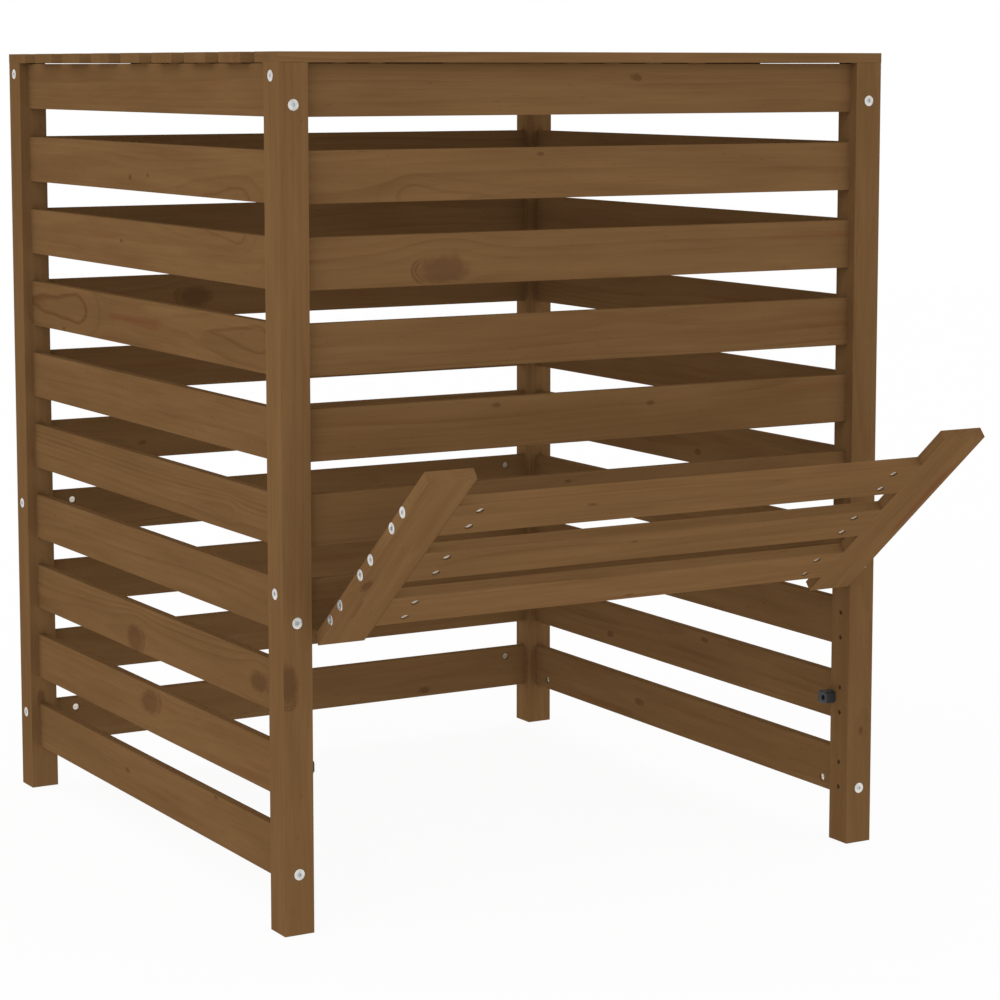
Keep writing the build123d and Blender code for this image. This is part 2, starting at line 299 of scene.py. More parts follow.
# Growth rings: a ring darkens slowly to its late wood and ends sharply, and some are bolder than others
RING_WANDER = Figure(9.0, 1.0, stretch=5.0)
RING_WANDER_REACH = 0.014
RING_DARKENS = (0.45, 0.90)
RING_ENDS = (1.0, 0.92)
RING_CONTRAST = 3.0
RING_BREAKS = Figure(26.0, 1.0, stretch=6.0)
RING_BREAK_RISE = (0.30, 0.62)
RING_SHARE = 0.36

# Knots: how many a board can have, their stretch along the grain, how soon the grain closes again,
# and their uneven outline
KNOT_COUNT = 3
LEAST_SIZE = 0.0001
KNOT_STRETCH = 1.8
KNOT_HOLD = 0.35
KNOT_WAVER = Figure(28.0, 1.0, stretch=2.5)
KNOT_WAVER_REACH = 0.008
KNOT_EDGE = Figure(150.0, stretch=1.5)
KNOT_EDGE_REACH = 0.30

# Core and bark of a sound knot, measured in its radii
CORE_RISE = (1.22, 0.58)
BARK_LINES = (1.04, 1.18)
BARK_RAGGED = 0.2
BARK_BREADTH = 0.08
BARK_SIDE = (-0.5, -1.1)

# Swirls: stretch before and behind the middle, how far the tail comes to a point, the arches as shares
# of a radius, and the radius of a swirl that shows in full
SWIRL_FRONT = 2.0
SWIRL_TAIL = 9.0
TAIL_TAPER = 0.8
ARCH_DARKENS = (0.60, 0.86)
ARCH_ENDS = (1.0, 0.88)
BOLD_SWIRL = 0.0200
SWIRL_CONTRAST = 1.3

# Reddish stains: least half width, how it grows with the half length, and how the ends and sides fade
STAIN_WIDTH = 0.0028
STAIN_TAPER = 0.045
STAIN_ENDS = (1.0, 0.6)
STAIN_SIDES = (1.0, 0.25)

# How strongly each mark covers the wood, from its thin places to its full ones
STAIN_COVER = (0.35, 1.0)
SWIRL_COVER = (0.35, 0.95)
CORE_COVER = (0.40, 0.80)
BARK_COVER = (0.2, 1.0)

# Faces told apart by how they lie to the board, then wear, end tone, gloss and relief
BROAD_RISE = (0.7, 0.3)
EDGE_RISE = (0.30, 0.48)
EDGE_WEAR = (0.0, 0.30)
SAWN_RISE = (0.6, 0.9)
END_SHADE = 0.94
WOOD_ROUGHNESS = 0.52
FIBRE_ROUGHNESS = 0.16
SAWN_ROUGHNESS = 0.15
FIBRE_RELIEF = 0.6
RING_RELIEF = 0.5
WOOD_BUMP = {"strength": 0.25, "distance": 0.0004}


def pine_knot(net, name, along, side, ragged):
    """One knot: how far it parts the grain, its core, its bark, and the arches of a swirl with no core."""
    middle, offset, radius = net.split(net.setting(name, "Vector"))
    sound = net.math("GREATER_THAN", radius, 0.0)
    swirled = net.minus(1.0, sound)
    size = net.math("MAXIMUM", net.magnitude(radius), LEAST_SIZE)

    # Distance from the middle, in radii: drawn out along the grain, and to a point behind a swirl
    length = net.minus(along, middle)
    behind = net.math("GREATER_THAN", length, 0.0)
    swirl_stretch = net.spread(behind, SWIRL_FRONT, SWIRL_TAIL)
    length = net.over(length, net.spread(sound, swirl_stretch, KNOT_STRETCH))
    height = net.minus(side, offset)
    rounded = net.hypotenuse(length, height)
    pointed = net.total(length, net.magnitude(height))
    tapering = net.product(behind, swirled, TAIL_TAPER)
    away = net.over(net.spread(tapering, rounded, pointed), size)
    fade = net.math("EXPONENT", net.product(away, away, -KNOT_HOLD))
    parting = net.product(height, fade, -1.0)

    # A sound knot has a dark core, and lines of bark round its front
    core = net.product(net.ease(net.total(away, ragged), *CORE_RISE), sound)
    rim = net.total(away, net.product(ragged, BARK_RAGGED))
    near_lines = [net.magnitude(net.minus(rim, line)) for line in BARK_LINES]
    bark = net.ease(net.math("MINIMUM", *near_lines), BARK_BREADTH, 0.0)
    bark = net.product(bark, net.ease(net.over(length, size), *BARK_SIDE), sound)

    # A swirl has arches one inside the other, bolder on a large one
    share = net.math("FRACT", away)
    arches = net.product(net.ease(share, *ARCH_DARKENS), net.ease(share, *ARCH_ENDS))
    bold = net.math("POWER", net.over(size, BOLD_SWIRL), SWIRL_CONTRAST)
    return parting, core, bark, net.product(arches, fade, bold, swirled)


def stain_streak(net, along, side):
    """A reddish streak along the grain."""
    middle, offset, reach = net.split(net.setting("stain", "Vector"))
    half_length = net.math("MAXIMUM", reach, LEAST_SIZE)
    half_width = net.total(STAIN_WIDTH, net.product(half_length, STAIN_TAPER))
    ahead = net.over(net.magnitude(net.minus(along, middle)), half_length)
    aside = net.over(net.magnitude(net.minus(side, offset)), half_width)
    return net.product(net.ease(ahead, *STAIN_ENDS), net.ease(aside, *STAIN_SIDES))


def stained_pine():
    """Flat-sawn softwood under a brown stain; each object holds the run of its grain and its knots."""
    net = ShaderNet("stained_pine")
    spot = net.place()
    grain = net.setting("grain", "Vector")
    across = net.setting("across", "Vector")
    depth = net.vector("CROSS_PRODUCT", grain, across)

    # Boards that share an object lie in rows, and each row has its own centre and seed
    from_first = net.vector("SUBTRACT", spot["Object"], net.setting("middle", "Vector"))
    row = net.math("ROUND", net.dot(from_first, net.setting("row_rate", "Vector")))
    row_middle = net.vector("MULTIPLY", net.setting("row_step", "Vector"), row)
    local = net.vector("SUBTRACT", from_first, row_middle)
    seed = net.total(net.setting("seed"), net.product(row, ROW_SEED_STEP))
    slide = net.product(net.math("SINE", net.product(row, GOLDEN_TURN)), ROW_SLIDE)
    along = net.total(net.dot(local, grain), slide)
    side = net.dot(local, across)
    deep = net.dot(local, depth)
    shift = net.vector("MULTIPLY", SEED_SHIFT, seed)

    def drawn_out(figure):
        """Noise that is longer along the grain."""
        lengthwise = net.combine(net.over(along, figure.stretch), side, deep)
        return net.noise(net.vector("ADD", lengthwise, shift), figure)

    # Growth rings round the heart of the tree, which lies outside the board, pushed aside by knots
    pith_side, pith_depth, ring_width = net.split(net.setting("pith", "Vector"))
    uneven = net.total(side, net.swing(drawn_out(KNOT_WAVER), KNOT_WAVER_REACH))
    ragged = net.swing(drawn_out(KNOT_EDGE), KNOT_EDGE_REACH)
    knot_names = [f"knot_{number}" for number in range(1, KNOT_COUNT + 1)]
    knots = [pine_knot(net, name, along, uneven, ragged) for name in knot_names]
    partings, cores, barks, arches = zip(*knots)
    ring_x = net.minus(net.total(side, *partings), pith_side)
    ring_y = net.minus(deep, pith_depth)
    wander = net.swing(drawn_out(RING_WANDER), RING_WANDER_REACH)
    rings = net.over(net.total(net.hypotenuse(ring_x, ring_y), wander), ring_width)
    ring_share = net.math("FRACT", rings)
    ring_seed = net.total(net.math("FLOOR", rings), seed)
    chance = net.add("ShaderNodeTexWhiteNoise", {"W": ring_seed}, noise_dimensions="1D").outputs["Value"]
    ring_line = net.product(
        net.ease(ring_share, *RING_DARKENS),
        net.ease(ring_share, *RING_ENDS),
        net.math("POWER", chance, RING_CONTRAST),
        net.ease(drawn_out(RING_BREAKS), *RING_BREAK_RISE),
    )

    # Fibres, soft mottling, reddish streaks and short dark flecks of resin
    fibre = drawn_out(FIBRE)
    mottle = drawn_out(MOTTLE)
    streak = net.ease(drawn_out(STREAK), *STREAK_RISE)
    fleck = net.ease(drawn_out(FLECK), *FLECK_RISE)
    shade = net.total(
        PLAIN_SHADE,
        net.swing(fibre, FIBRE_SHADE),
        net.swing(mottle, MOTTLE_SHADE),
        net.product(ring_share, RING_SHADE),
    )
    colour = net.blend(shade, PALE_WOOD, DARK_WOOD)
    colour = net.blend(net.product(streak, STREAK_SHARE), colour, RED_STAIN)
    colour = net.blend(net.product(ring_line, RING_SHARE), colour, RING_LINE)
    colour = net.blend(net.product(fleck, FLECK_SHARE), colour, RING_LINE)

    # How a face lies to the board: 1 where it looks along the grain, across it or out of the broad side
    endways = net.magnitude(net.dot(spot["Normal"], grain))
    sideways = net.magnitude(net.dot(spot["Normal"], across))
    outwards = net.magnitude(net.dot(spot["Normal"], depth))

    # Stains, swirls, knots and their bark show on the broad faces
    broad = net.ease(sideways, *BROAD_RISE)
    swirl, core, bark = (net.math("MINIMUM", net.total(*kind), 1.0) for kind in (arches, cores, barks))
    marks = (
        (stain_streak(net, along, uneven), fibre, STAIN_COVER, RED_STAIN),
        (swirl, fibre, SWIRL_COVER, RING_LINE),
        (core, mottle, CORE_COVER, KNOT_WOOD),
        (bark, fibre, BARK_COVER, KNOT_WOOD),
    )
    for mark, texture, cover, tint in marks:
        colour = net.blend(net.product(mark, broad, net.spread(texture, *cover)), colour, tint)

    # Eased edges are rubbed paler, and sawn ends drink in more stain
    edge = net.ease(net.product(sideways, outwards), *EDGE_RISE)
    colour = net.blend(net.product(edge, net.spread(mottle, *EDGE_WEAR)), colour, WORN_EDGE)
    sawn = net.ease(endways, *SAWN_RISE)
    # The object's tone is random, and on the flap it also holds painted light
    tone_and_painted_light = net.product(net.setting("tone_and_painted_light"), net.spread(sawn, 1.0, END_SHADE))
    colour = net.blend(1.0, colour, net.combine(tone_and_painted_light, tone_and_painted_light, tone_and_painted_light), "MULTIPLY")

    rough_fibre = net.product(fibre, FIBRE_ROUGHNESS)
    rough_end = net.product(sawn, SAWN_ROUGHNESS)
    net.surface({
        "Base Color": colour,
        "Roughness": net.total(WOOD_ROUGHNESS, rough_fibre, rough_end),
        "Specular IOR Level": 0.0,
    })
    net.bump(net.total(net.product(fibre, FIBRE_RELIEF), net.product(ring_line, RING_RELIEF)), **WOOD_BUMP)
    return net.material


# Zinc plating: colour and roughness of each kind, and what they share
BRIGHT_ZINC = ((0.72, 0.695, 0.665, 1), 0.34)
# Darker zinc for the insides of sockets and counterbores: painted shade in these hollows
RECESS_SHADE_ZINC = ((0.64, 0.65, 0.66, 1), 0.55)
NUT_ZINC = ((0.78, 0.71, 0.61, 1), 0.36)
HINGE_ZINC = ((0.56, 0.56, 0.57, 1), 0.42)
SPANGLE = Figure(900.0, 3.0, 0.6)
ZINC_CLOUD = Figure(140.0)
ZINC_CLOUD_RISE = (0.35, 0.75)
ZINC_DULLING = 0.72
ZINC_ROUGHNESS_SWING = 0.10
ZINC_BUMP = {"strength": 0.12, "distance": 0.0002}


def white_zinc(name, colour, roughness):
    """Zinc-plated steel with a faint spangle."""
    net = ShaderNet(name)
    spot = net.place()["Object"]
    spangle = net.noise(spot, SPANGLE)
    cloud = net.ease(net.noise(spot, ZINC_CLOUD), *ZINC_CLOUD_RISE)
    dull = tuple(ZINC_DULLING * channel for channel in colour[:3]) + (1,)
    smooth, coarse = roughness - ZINC_ROUGHNESS_SWING, roughness + ZINC_ROUGHNESS_SWING
    net.surface({
        "Base Color": net.blend(cloud, colour, dull),
        "Roughness": net.spread(spangle, smooth, coarse),
        "Metallic": 1.0,
    })
    net.bump(spangle, **ZINC_BUMP)
    return net.material


# Moulded plastic
PLASTIC_DARK = (0.018, 0.019, 0.021, 1)
PLASTIC_PALE = (0.034, 0.036, 0.039, 1)
PLASTIC_SKIN = Figure(2600.0)
PLASTIC_CLOUD = Figure(180.0)
PLASTIC_ROUGHNESS = (0.38, 0.58)
PLASTIC_SPECULAR = 0.4
PLASTIC_BUMP = {"strength": 0.3, "distance": 0.0001}


def moulded_plastic():
    """Dark grey nylon with a fine spark-eroded skin."""
    net = ShaderNet("dark_moulded_plastic")
    spot = net.place()["Object"]
    skin = net.noise(spot, PLASTIC_SKIN)
    net.surface({
        "Base Color": net.blend(net.noise(spot, PLASTIC_CLOUD), PLASTIC_DARK, PLASTIC_PALE),
        "Roughness": net.spread(skin, *PLASTIC_ROUGHNESS),
        "Specular IOR Level": PLASTIC_SPECULAR,
    })
    net.bump(skin, **PLASTIC_BUMP)
    return net.material


pine = stained_pine()
zinc = white_zinc("white_zinc", *BRIGHT_ZINC)
# Darker zinc that paints the shade in sockets and counterbores
recess_shade_zinc = white_zinc("recess_shade_zinc", *RECESS_SHADE_ZINC)
nut_zinc = white_zinc("nut_zinc", *NUT_ZINC)
hinge_zinc = white_zinc("hinge_zinc", *HINGE_ZINC)
plastic = moulded_plastic()


# Timber

# Knots seen on the boards: place along the board and across it, and radius; a swirl's radius is negative
SEEN_KNOTS = {
    "front_slat_01": [(0.062, 0.0145, 0.0045)],
    "front_slat_02": [(-0.236, -0.026, -0.013), (-0.070, 0.0195, 0.0025)],
    "front_slat_03": [(-0.199, -0.0125, 0.0195)],
    "front_slat_05": [(-0.129, 0.0195, 0.0035), (0.084, 0.012, 0.003)],
    "front_slat_06": [(-0.031, 0.020, 0.003)],
    "left_slat_02": [(0.034, -0.0125, 0.003), (-0.020, -0.0095, 0.0025), (-0.285, -0.031, -0.016)],
    "left_slat_03": [(0.065, 0.0045, 0.003), (-0.275, 0.029, -0.014)],
    "left_slat_04": [(0.222, 0.003, -0.0225), (-0.332, 0.007, -0.0180), (0.263, -0.027, 0.0025)],
    "left_slat_06": [(-0.240, -0.009, -0.010)],
    "left_slat_08": [(0.040, -0.0135, 0.0145), (-0.3235, -0.002, 0.0140)],
    "left_slat_09": [(-0.0055, 0.010, 0.0165)],
    "left_slat_10": [(0.071, 0.005, 0.004), (-0.200, 0.0245, 0.003)],
    "back_slat_04": [(-0.156, 0.0005, 0.0150)],
    "back_slat_10": [(0.2045, -0.017, 0.005)],
    "right_slat_09": [(0.1685, -0.014, 0.005), (-0.071, 0.021, 0.005)],
    "right_slat_10": [(0.091, -0.002, 0.006)],
    "front_left_post": [(-0.201, -0.0135, 0.0140)],
    "front_right_post": [(0.245, 0.008, -0.006), (-0.347, 0.001, 0.003)],
    "back_left_post": [(-0.367, -0.005, 0.006)],
    "flap_left_stile": [(-0.0405, -0.0195, 0.0065)],
    "flap_slat_1": [(0.025, -0.019, 0.0035)],
    "flap_slat_2": [(-0.0305, 0.0085, 0.0025)],
    "flap_slat_3": [(-0.132, 0.0085, 0.0035)],
}

# Reddish streaks seen on the boards: middle along the board, place across it, and half length
SEEN_STAINS = {
    "left_slat_04": (0.030, 0.003, 0.100),
    "flap_left_stile": (-0.094, -0.013, 0.024),
    "flap_right_stile": (0.030, 0.021, 0.090),
}

# Stands for a knot or a streak that a board doesn't have
OFF_THE_BOARD = (9.0, 9.0, 0.0)

# Ranges that a timber's own figure is drawn from; sides that aren't seen also get a small knot or swirl
DRAW_SEED = 9
SEEDS = (0, 40)
TONES = (0.97, 1.03)
PITH_SIDES = (-0.035, 0.035)
PITH_DEPTHS = (0.025, 0.07)
RING_WIDTHS = (0.0045, 0.0070)
HIDDEN_SIDES = ("back_slat", "right_slat", "lid_")
HIDDEN_KNOT = ((-0.33, 0.33), (-0.02, 0.02), (-0.006, 0.008))
# The flap's boards are painted paler, as painted light for the brighter light that falls on them
FLAP_PAINTED_LIGHT = 1.07
ONE_ROW = Vector((0, 0, 0))
LEAST_SQUARE = 1e-9


def coat(node, material):
    """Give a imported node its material."""
    frame["nodes"][node].material_slots[0].material = material


def dress_timber(node, grain, across, draws, row_step=ONE_ROW, first=None, painted_light=1.0):
    """Give a timber node its own figure: the run of its grain, its place in the tree, its knots, and its
    tone, which on the flap is raised as painted light.
    """
    piece = frame["nodes"][node]
    piece["grain"] = list(grain)
    piece["across"] = list(across)
    piece["middle"] = list(middle_of(node) if first is None else first)
    piece["row_step"] = list(row_step)
    piece["row_rate"] = list(row_step / max(row_step.length_squared, LEAST_SQUARE))
    piece["seed"] = draws.uniform(*SEEDS)
    piece["tone_and_painted_light"] = painted_light * draws.uniform(*TONES)
    piece["pith"] = [
        draws.uniform(*PITH_SIDES),
        draws.choice((-1, 1)) * draws.uniform(*PITH_DEPTHS),
        draws.uniform(*RING_WIDTHS),
    ]
    hidden_knot = [draws.uniform(*reach) for reach in HIDDEN_KNOT]
    knots = SEEN_KNOTS.get(node, [hidden_knot] if node.startswith(HIDDEN_SIDES) else [])
    for number in range(KNOT_COUNT):
        piece[f"knot_{number + 1}"] = list(knots[number] if number < len(knots) else OFF_THE_BOARD)
    piece["stain"] = list(SEEN_STAINS.get(node, OFF_THE_BOARD))
    coat(node, pine)


def board_row(node, direction, count):
    """Centre of the first of the evenly spaced boards that share a node, and the step to the next one."""
    step = direction * ((span(node, direction) - BOARD_WIDTH) / (count - 1))
    return middle_of(node) - step * ((count - 1) / 2), step


draws = random.Random(DRAW_SEED)
for name, wall in WALLS.items():
    for row in range(1, wall.row_count + 1):
        dress_timber(slat_name(name, row), wall.grain, UP, draws)
for post in POSTS:
    dress_timber(post, UP, X_AXIS, draws)
# The flap's slats and stiles get painted light: a paler tone
for slat in FLAP_SLATS:
    dress_timber(slat, X_AXIS, FLAP_DOWN, draws, painted_light=FLAP_PAINTED_LIGHT)
for stile in FLAP_STILES:
    dress_timber(stile, FLAP_DOWN, X_AXIS, draws, painted_light=FLAP_PAINTED_LIGHT)
first_lid_board, lid_step = board_row("lid_boards", Y_AXIS, LID_BOARD_COUNT)
dress_timber("lid_boards", X_AXIS, Y_AXIS, draws, lid_step, first_lid_board)
first_batten, batten_step = board_row("lid_battens", X_AXIS, BATTEN_COUNT)
dress_timber("lid_battens", Y_AXIS, X_AXIS, draws, batten_step, first_batten)

for node in HINGE_NODES:
    coat(node, hinge_zinc)
coat("flap_stops", plastic)


# Fasteners: one template each, copied to its places

ROUND_SIDES = 36
HEXAGON_SIDE = math.radians(60)
SHARP_ANGLE = math.radians(32)
FLAT_ANGLE = math.radians(0.5)


def circle(radius):
    """Distance from the centre of a circle to its rim, for each direction."""
    return lambda angle: radius


def hexagon(across_flats):
    """Distance from the centre of a hexagon to its side, for each direction."""
    return lambda angle: across_flats / 2 / math.cos(angle % HEXAGON_SIDE - HEXAGON_SIDE / 2)


def turned(name, rings, second_bands=()):
    """Closed mesh of rings about Z, from the top pole down to the bottom one.

    A ring is a height, and a radius or an outline. The bands whose numbers are in second_bands,
    counted from the top, take the second material.
    """
    mesh = bmesh.new()
    angles = [2 * math.pi * step / ROUND_SIDES for step in range(ROUND_SIDES)]
    loops = []
    for height, radius in rings[1:-1]:
        reach = radius if callable(radius) else circle(radius)
        loops.append([
            mesh.verts.new((reach(angle) * math.cos(angle), reach(angle) * math.sin(angle), height))
            for angle in angles
        ])
    top = mesh.verts.new((0, 0, rings[0][0]))
    bottom = mesh.verts.new((0, 0, rings[-1][0]))
    for step in range(ROUND_SIDES):
        after = (step + 1) % ROUND_SIDES
        bands = [mesh.faces.new((top, loops[0][step], loops[0][after]))]
        for upper, lower in zip(loops, loops[1:]):
            bands.append(mesh.faces.new((upper[step], lower[step], lower[after], upper[after])))
        bands.append(mesh.faces.new((bottom, loops[-1][after], loops[-1][step])))
        for band in second_bands:
            bands[band].material_index = 1
    return finished(mesh, name)


def finished(mesh, name):
    """Turn a bmesh into mesh data, smooth except at sharp edges."""
    bmesh.ops.recalc_face_normals(mesh, faces=mesh.faces[:])
    for face in mesh.faces:
        face.smooth = True
    for edge in mesh.edges:
        edge.smooth = edge.calc_face_angle(0) < SHARP_ANGLE
    data = bpy.data.meshes.new(name)
    mesh.to_mesh(data)
    mesh.free()
    return data


def slotted(data, slots):
    """Cut straight driver slots, each (length, width, depth, turn), into the top of a template."""
    top = max(vertex.co.z for vertex in data.vertices)
    body = linked(data.name, data)
    cutters = []
    for length, width, depth, turn in slots:
        block = bmesh.new()
        bmesh.ops.create_cube(block, size=1)
        bmesh.ops.scale(block, vec=(length, width, 2 * depth), verts=block.verts[:])
        bmesh.ops.rotate(block, matrix=Matrix.Rotation(turn, 3, "Z"), verts=block.verts[:])
        bmesh.ops.translate(block, vec=(0, 0, top), verts=block.verts[:])
        cutters.append(linked("cutter", finished(block, "cutter")))
        cut = body.modifiers.new("slot", "BOOLEAN")
        cut.object = cutters[-1]
        cut.solver = "EXACT"
    cut_mesh = bpy.data.meshes.new_from_object(body.evaluated_get(bpy.context.evaluated_depsgraph_get()))
    for scrap in (body, *cutters):
        bpy.data.objects.remove(scrap)
    mesh = bmesh.new()
    mesh.from_mesh(cut_mesh)
    bmesh.ops.dissolve_limit(mesh, angle_limit=FLAT_ANGLE, verts=mesh.verts[:], edges=mesh.edges[:])
    return finished(mesh, data.name)


def standing(place, out, turn):
    """Matrix that stands a template at a place, its Z along out and its X along turn."""
    z = out.normalized()
    x = (turn - z * turn.dot(z)).normalized()
    return Matrix.Translation(place) @ Matrix((x, z.cross(x), z)).transposed().to_4x4()


def copies(name, template, places, materials, body, stands_for=None):
    """Make one piece that holds a copy of a template at every place."""
    mesh = bmesh.new()
    for place in places:
        start = len(mesh.verts)
        mesh.from_mesh(template)
        mesh.verts.ensure_lookup_table()
        bmesh.ops.transform(mesh, matrix=place, verts=mesh.verts[start:])
    data = bpy.data.meshes.new(name)
    mesh.to_mesh(data)
    mesh.free()
    for material in materials:
        data.materials.append(material)
    piece = linked(name, data)
    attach(piece, body)
    if stands_for:
        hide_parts(stands_for)


# Bolts and barrel nuts

# Bolt head, its eased rim and its socket, then the shank and how far it reaches into the board
HEAD_RADIUS = 0.0065
HEAD_HEIGHT = 0.0008
HEAD_FLAT_RADIUS = 0.0057
HEAD_RIM_RADIUS = 0.0061
HEAD_RIM_DROP = 0.0001
HEAD_SIDE_DROP = 0.0004
SOCKET_FLATS = 0.004
SOCKET_MOUTH_RADIUS = 0.0028
SOCKET_CHAMFER = 0.0003
SOCKET_DEPTH = 0.0015
SOCKET_POINT = 0.0002
# Bands of the socket, which take the darker zinc as painted shade
SOCKET_SHADE_BANDS = (0, 1, 2)
SHANK_RADIUS = 0.003
TIP_CHAMFER = 0.001
BOLT_REACH = 0.0365

# Barrel nut, its eased rim, and its slot's length, width and depth
NUT_RADIUS = 0.0048
NUT_RIM = 0.0006
NUT_RIM_DROP = 0.0005
NUT_LENGTH = 0.0085
NUT_SLOT = (0.0120, 0.0009, 0.0008)

# Places: bolts in from the board's edge, and nuts in from its end and down from its inner face
FIXING_EDGE_DISTANCE = 0.0135
FIXING_OFFSET = BOARD_WIDTH / 2 - FIXING_EDGE_DISTANCE
NUT_SETBACK = 0.033
NUT_RECESS = 0.0015


def bolt_template(name, grip):
    """Flat round head whose hexagon socket takes a darker zinc, painted shade in the hollow, its seat at
    zero height, on a plain shank.
    """
    socket = hexagon(SOCKET_FLATS)
    socket_floor = HEAD_HEIGHT - SOCKET_DEPTH
    tip = -(grip + BOLT_REACH)
    rings = [
        (socket_floor - SOCKET_POINT, 0),
        (socket_floor, socket),
        (HEAD_HEIGHT - SOCKET_CHAMFER, socket),
        (HEAD_HEIGHT, SOCKET_MOUTH_RADIUS),
        (HEAD_HEIGHT, HEAD_FLAT_RADIUS),
        (HEAD_HEIGHT - HEAD_RIM_DROP, HEAD_RIM_RADIUS),
        (HEAD_HEIGHT - HEAD_SIDE_DROP, HEAD_RADIUS),
        (0, HEAD_RADIUS),
        (0, SHANK_RADIUS),
        (tip + TIP_CHAMFER, SHANK_RADIUS),
        (tip, SHANK_RADIUS - TIP_CHAMFER),
        (tip, 0),
    ]
    return turned(name, rings, SOCKET_SHADE_BANDS)


def nut_template():
    """Barrel nut seen end on, with its rim eased and a slot along the bolt."""
    blank = turned("barrel_nut", [
        (0, 0),
        (0, NUT_RADIUS - NUT_RIM),
        (-NUT_RIM_DROP, NUT_RADIUS),
        (-NUT_LENGTH, NUT_RADIUS),
        (-NUT_LENGTH, 0),
    ])
    return slotted(blank, [(*NUT_SLOT, 0)])


def wall_fixings():
    """Bolt seats and barrel nut ends of the walls, as matrices."""
    bolts, nuts = [], []
    for name, wall in WALLS.items():
        # The bolts of two walls that meet in a post pass one above the other
        offset = UP * (FIXING_OFFSET if wall.grain is X_AXIS else -FIXING_OFFSET)
        nut_rise = wall.inward * (BOARD_THICKNESS / 2 - NUT_RECESS)
        for row in wall.bolted_rows:
            node = slat_name(name, row)
            half = span(node, wall.grain) / 2
            for side in (-1, 1):
                end = middle_of(node) + offset + wall.grain * (side * half)
                bolts.append(standing(end + wall.grain * (side * POST_SIZE), wall.grain * side, UP))
                mouth = end - wall.grain * (side * NUT_SETBACK) + nut_rise
                nuts.append(standing(mouth, wall.inward, wall.grain))
    return bolts, nuts


def flap_fixings():
    """Bolt seats and barrel nut ends of the flap, as matrices."""
    bolts, nuts = [], []
    nut_rise = FLAP_INNER * (FLAP_THICKNESS / 2 - NUT_RECESS)
    for slat in FLAP_SLATS:
        half = span(slat, X_AXIS) / 2
        for offset in (-FIXING_OFFSET, FIXING_OFFSET):
            for side in (-1, 1):
                end = middle_of(slat) + FLAP_DOWN * offset + X_AXIS * (side * half)
                bolts.append(standing(end + X_AXIS * (side * STILE_WIDTH), X_AXIS * side, FLAP_DOWN))
                mouth = end - X_AXIS * (side * NUT_SETBACK) + nut_rise
                nuts.append(standing(mouth, FLAP_INNER, X_AXIS))
    return bolts, nuts


frame_bolts, frame_nuts = wall_fixings()
flap_bolts, flap_nuts = flap_fixings()
nut = nut_template()
post_bolt = bolt_template("post_bolt", POST_SIZE)
stile_bolt = bolt_template("stile_bolt", STILE_WIDTH)
socketed = [zinc, recess_shade_zinc]
copies("frame_bolts_round", post_bolt, frame_bolts, socketed, "bin", "frame_bolts")
copies("frame_barrel_nuts_round", nut, frame_nuts, [nut_zinc], "bin", "frame_barrel_nuts")
copies("flap_bolts_round", stile_bolt, flap_bolts, socketed, "flap", "flap_bolts")
copies("flap_barrel_nuts_round", nut, flap_nuts, [nut_zinc], "flap", "flap_barrel_nuts")


# Screws in the hinges, the battens and the stops

# Head radius and height of each kind
HINGE_SCREW = (0.0028, 0.0007)
SMALL_SCREW = (0.0021, 0.0006)
BATTEN_SCREW = (0.0036, 0.0008)
STOP_SCREW = (0.0027, 0.0018)

# Domed head from the top down, as shares of its height and radius, and the neck that is sunk below it
SCREW_DOME = ((1, 0), (0.97, 0.4), (0.75, 0.75), (0.35, 0.97), (0, 1))
NECK_DEPTH = 0.002
NECK_SHARE = 0.45
SCREW_DEPTH = 0.004

# Cross recess: length and width as shares of the head's radius, and depth as a share of its height
RECESS_LENGTH = 1.15
RECESS_WIDTH = 0.26
RECESS_DEPTH = 0.75
RECESS_TURNS = (math.radians(45), math.radians(135))

# A leaf's face lies a little behind the hinge's axis. Places on it: along the axis from the leaf's middle,
# and away from the axis
LEAF_SETBACK = 0.0015
FLAP_LEAF_SPOTS = ((-0.008, 0.010), (0.008, 0.010))
POST_LEAF_SPOTS = ((-0.008, 0.013), (0.008, 0.013), (0, 0.026))
LID_LEAF_SPOTS = ((-0.009, 0.0068), (0.009, 0.0068))

# Places on the battens and in the stops
BATTEN_SCREW_STAGGER = 0.014
BATTEN_END_DISTANCE = 0.014
STOP_REACH = 0.015
STOP_COUNTERBORE = 0.010
STOP_SCREW_SETBACK = 0.0065


def screw_template(name, radius, height):
    """Low domed screw head with a cross recess, its seat at zero height."""
    dome = [(height * rise, radius * share) for rise, share in SCREW_DOME]
    blank = turned(name, [*dome, (-NECK_DEPTH, radius * NECK_SHARE), (-SCREW_DEPTH, 0)])
    recess = (radius * RECESS_LENGTH, radius * RECESS_WIDTH, height * RECESS_DEPTH)
    return slotted(blank, [(*recess, turn) for turn in RECESS_TURNS])


def leaf_screws(joint, holders, away, out, spots):
    """Screw seats on the leaves of a hinge, one leaf at the middle of each holder."""
    seats = []
    axis_place = Vector(JOINTS[joint]["pos_m"])
    for holder in holders:
        for along, distance in spots:
            place = axis_place + X_AXIS * (middle_of(holder).x + along) + away * distance
            seats.append(standing(place - out * LEAF_SETBACK, out, X_AXIS))
    return seats


def batten_screws():
    """Screw seats under the battens, two for each lid board that they carry."""
    seats = []
    low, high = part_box("lid_battens")
    furthest = high.y - BATTEN_END_DISTANCE
    for batten in range(BATTEN_COUNT):
        for board in range(LID_BOARD_COUNT):
            for side in (-1, 1):
                crossing = (first_lid_board + lid_step * board).y + side * BATTEN_SCREW_STAGGER
                place = first_batten + batten_step * batten + X_AXIS * (side * BATTEN_SCREW_STAGGER)
                place.y = max(-furthest, min(furthest, crossing))
                place.z = low.z
                seats.append(standing(place, -UP, X_AXIS))
    return seats


